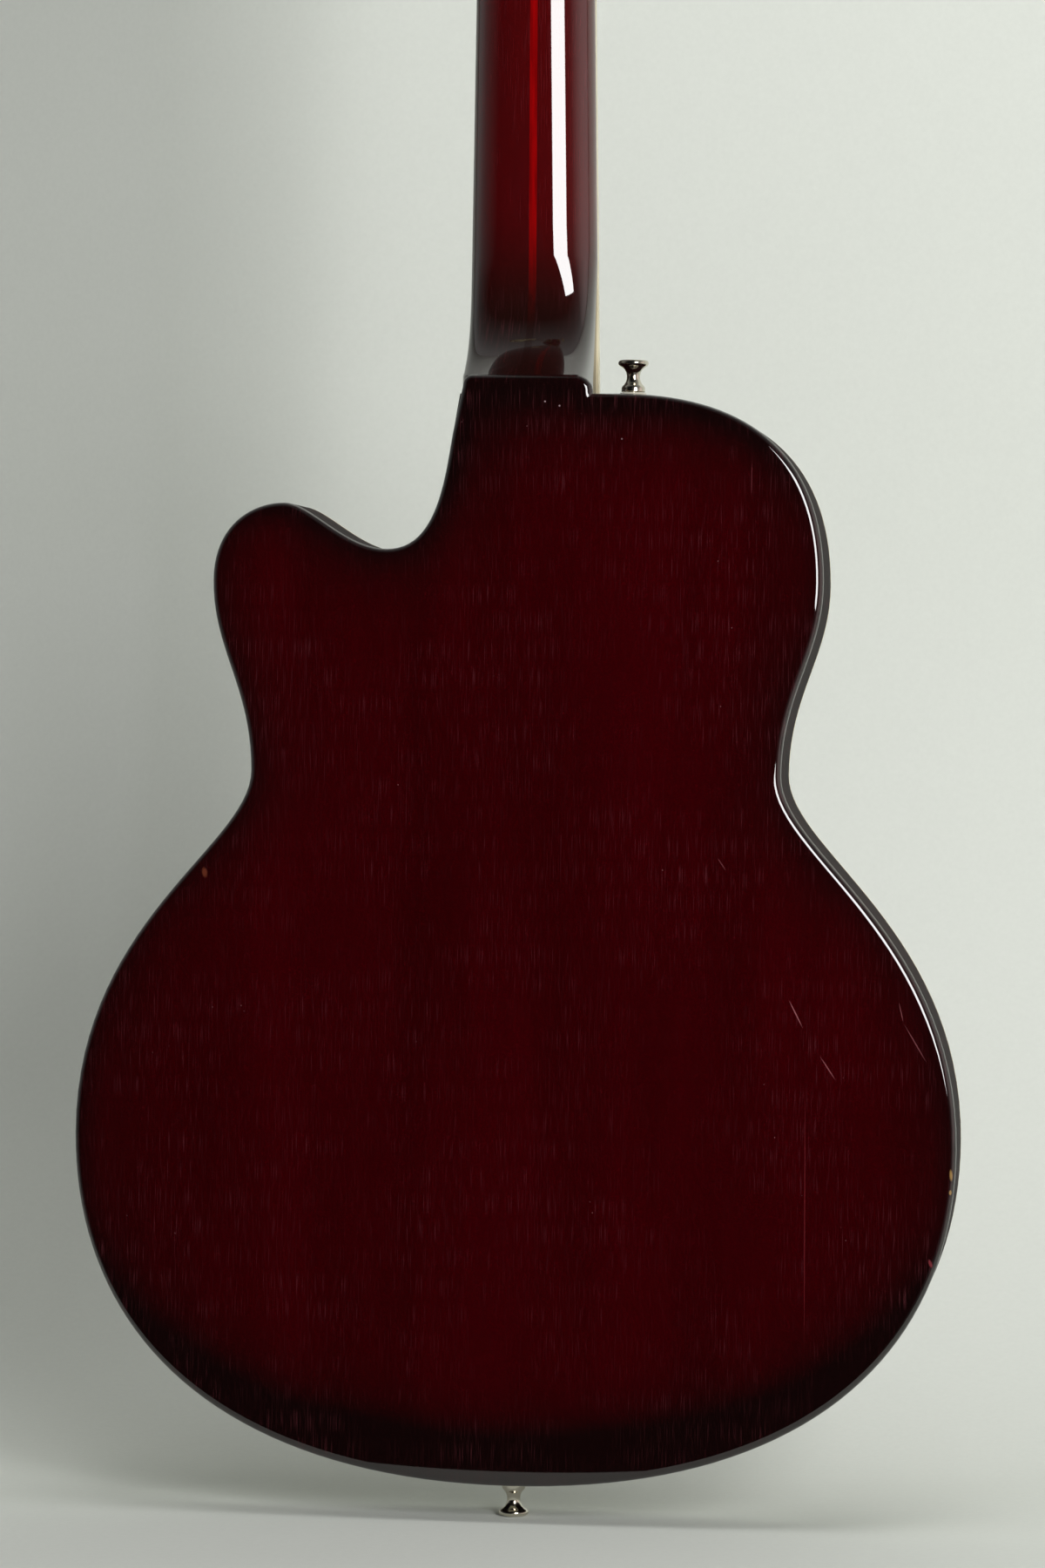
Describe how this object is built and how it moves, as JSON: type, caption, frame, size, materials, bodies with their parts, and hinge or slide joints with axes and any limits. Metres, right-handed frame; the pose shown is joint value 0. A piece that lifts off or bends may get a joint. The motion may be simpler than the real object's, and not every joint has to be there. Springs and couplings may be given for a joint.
{
  "type": "hollow-body electric guitar",
  "caption": "Thin hollow-body electric guitar with one rounded cutaway, arched top, set neck, geared tuners, adjustable bridge and trapeze tailpiece.",
  "frame": {"origin": "centre of the end strap button's outer face", "axes": "+Z along the neck to the headstock, +Y out of the back, +X towards the cutaway side"},
  "size_m": [0.3553, 0.1003, 0.9605],
  "materials": {
    "cherry_lacquer": "gloss lacquer",
    "maple_strip": "gloss lacquer",
    "raw_spruce": "raw",
    "cream_binding": "gloss",
    "rosewood": "oiled",
    "nickel": "worn nickel plate",
    "steel": "bright wire",
    "black_gloss": "gloss",
    "bone": "polished",
    "felt": "felt",
    "brass": "satin"
  },
  "bodies": {
    "root": {"back_plate": "cherry_lacquer", "bridge_base": "rosewood", "bridge_post_bass": "brass", "bridge_post_treble": "brass", "felt_washer": "felt", "fingerboard": "rosewood", "headstock_veneer": "black_gloss", "lining_back_bass": "raw_spruce", "lining_back_treble": "raw_spruce", "lining_front_bass": "raw_spruce", "lining_front_treble": "raw_spruce", "neck_block": "raw_spruce", "neck_centre_strip": "maple_strip", "neck_wing_bass": "cherry_lacquer", "neck_wing_treble": "cherry_lacquer", "nut": "bone", "output_jack": "nickel", "pickup_coil": "black_gloss", "pickup_cover": "nickel", "rim": "cherry_lacquer", "strap_button_end": "nickel", "strap_button_shoulder": "nickel", "string_1": "steel", "string_2": "steel", "string_3": "steel", "string_4": "nickel", "string_5": "nickel", "string_6": "nickel", "tail_block": "raw_spruce", "tailpiece_bracket": "nickel", "tailpiece_pin": "steel", "tailpiece_trapeze": "nickel", "tone_bar_bass": "raw_spruce", "tone_bar_treble": "raw_spruce", "tone_pot": "steel", "top_binding": "cream_binding", "top_plate": "cherry_lacquer", "truss_rod": "steel", "truss_rod_cover": "black_gloss", "tuner_strip_bass": "nickel", "tuner_strip_treble": "nickel", "volume_pot": "steel"},
    "key_bass_1": {"tuner_key_bass_1": "cream_binding"},
    "post_bass_1": {"tuner_post_bass_1": "nickel"},
    "key_bass_2": {"tuner_key_bass_2": "cream_binding"},
    "post_bass_2": {"tuner_post_bass_2": "nickel"},
    "key_bass_3": {"tuner_key_bass_3": "cream_binding"},
    "post_bass_3": {"tuner_post_bass_3": "nickel"},
    "key_treble_1": {"tuner_key_treble_1": "cream_binding"},
    "post_treble_1": {"tuner_post_treble_1": "nickel"},
    "key_treble_2": {"tuner_key_treble_2": "cream_binding"},
    "post_treble_2": {"tuner_post_treble_2": "nickel"},
    "key_treble_3": {"tuner_key_treble_3": "cream_binding"},
    "post_treble_3": {"tuner_post_treble_3": "nickel"},
    "volume_control": {"volume_knob": "black_gloss"},
    "tone_control": {"tone_knob": "black_gloss"},
    "saddle": {"bridge_saddle": "rosewood"},
    "wheel_bass": {"thumbwheel_bass": "brass"},
    "wheel_treble": {"thumbwheel_treble": "brass"},
    "truss_nut": {"truss_rod_nut": "brass"}
  },
  "joints": [
    {"name": "key_turn_bass_1", "type": "hinge", "parent": "root", "child": "key_bass_1", "pos_m": [-0.021, 0.01708, 0.84347], "axis": [1, 0, 0], "continuous": true},
    {"name": "post_turn_bass_1", "type": "hinge", "parent": "root", "child": "post_bass_1", "pos_m": [-0.021, -0.00265, 0.84129], "axis": [0, 0.9588, -0.284], "continuous": true},
    {"name": "key_turn_bass_2", "type": "hinge", "parent": "root", "child": "key_bass_2", "pos_m": [-0.021, 0.02788, 0.87992], "axis": [1, 0, 0], "continuous": true},
    {"name": "post_turn_bass_2", "type": "hinge", "parent": "root", "child": "post_bass_2", "pos_m": [-0.021, 0.00814, 0.87774], "axis": [0, 0.9588, -0.284], "continuous": true},
    {"name": "key_turn_bass_3", "type": "hinge", "parent": "root", "child": "key_bass_3", "pos_m": [-0.021, 0.03867, 0.91637], "axis": [1, 0, 0], "continuous": true},
    {"name": "post_turn_bass_3", "type": "hinge", "parent": "root", "child": "post_bass_3", "pos_m": [-0.021, 0.01894, 0.91419], "axis": [0, 0.9588, -0.284], "continuous": true},
    {"name": "key_turn_treble_1", "type": "hinge", "parent": "root", "child": "key_treble_1", "pos_m": [0.021, 0.01708, 0.84347], "axis": [1, 0, 0], "continuous": true},
    {"name": "post_turn_treble_1", "type": "hinge", "parent": "root", "child": "post_treble_1", "pos_m": [0.021, -0.00265, 0.84129], "axis": [0, 0.9588, -0.284], "continuous": true},
    {"name": "key_turn_treble_2", "type": "hinge", "parent": "root", "child": "key_treble_2", "pos_m": [0.021, 0.02788, 0.87992], "axis": [1, 0, 0], "continuous": true},
    {"name": "post_turn_treble_2", "type": "hinge", "parent": "root", "child": "post_treble_2", "pos_m": [0.021, 0.00814, 0.87774], "axis": [0, 0.9588, -0.284], "continuous": true},
    {"name": "key_turn_treble_3", "type": "hinge", "parent": "root", "child": "key_treble_3", "pos_m": [0.021, 0.03867, 0.91637], "axis": [1, 0, 0], "continuous": true},
    {"name": "post_turn_treble_3", "type": "hinge", "parent": "root", "child": "post_treble_3", "pos_m": [0.021, 0.01894, 0.91419], "axis": [0, 0.9588, -0.284], "continuous": true},
    {"name": "volume_turn", "type": "hinge", "parent": "root", "child": "volume_control", "pos_m": [0.134, 0, 0.166], "axis": [0, 1, 0], "range_deg": [-145, 145]},
    {"name": "tone_turn", "type": "hinge", "parent": "root", "child": "tone_control", "pos_m": [0.118, 0, 0.108], "axis": [0, 1, 0], "range_deg": [-145, 145]},
    {"name": "saddle_height", "type": "slide", "parent": "root", "child": "saddle", "axis": [0, 1, 0], "range_m": [0, 0.002]},
    {"name": "wheel_turn_bass", "type": "hinge", "parent": "saddle", "child": "wheel_bass", "pos_m": [-0.037, -0.04449, 0.16823], "axis": [0, 1, 0], "range_deg": [0, 900]},
    {"name": "wheel_turn_treble", "type": "hinge", "parent": "saddle", "child": "wheel_treble", "pos_m": [0.037, -0.04449, 0.16823], "axis": [0, 1, 0], "range_deg": [0, 900]},
    {"name": "truss_nut_turn", "type": "hinge", "parent": "root", "child": "truss_nut", "pos_m": [0, -0.00958, 0.80781], "axis": [0, 0.0436, 0.999], "range_deg": [-180, 180]}
  ],
  "couplings": [
    {"joint": "post_turn_bass_1", "follows": "key_turn_bass_1", "ratio": 0.071429},
    {"joint": "post_turn_bass_2", "follows": "key_turn_bass_2", "ratio": 0.071429},
    {"joint": "post_turn_bass_3", "follows": "key_turn_bass_3", "ratio": 0.071429},
    {"joint": "post_turn_treble_1", "follows": "key_turn_treble_1", "ratio": 0.071429},
    {"joint": "post_turn_treble_2", "follows": "key_turn_treble_2", "ratio": 0.071429},
    {"joint": "post_turn_treble_3", "follows": "key_turn_treble_3", "ratio": 0.071429},
    {"joint": "wheel_turn_bass", "follows": "saddle_height", "rad_per_m": 7854},
    {"joint": "wheel_turn_treble", "follows": "saddle_height", "rad_per_m": 7854}
  ]
}
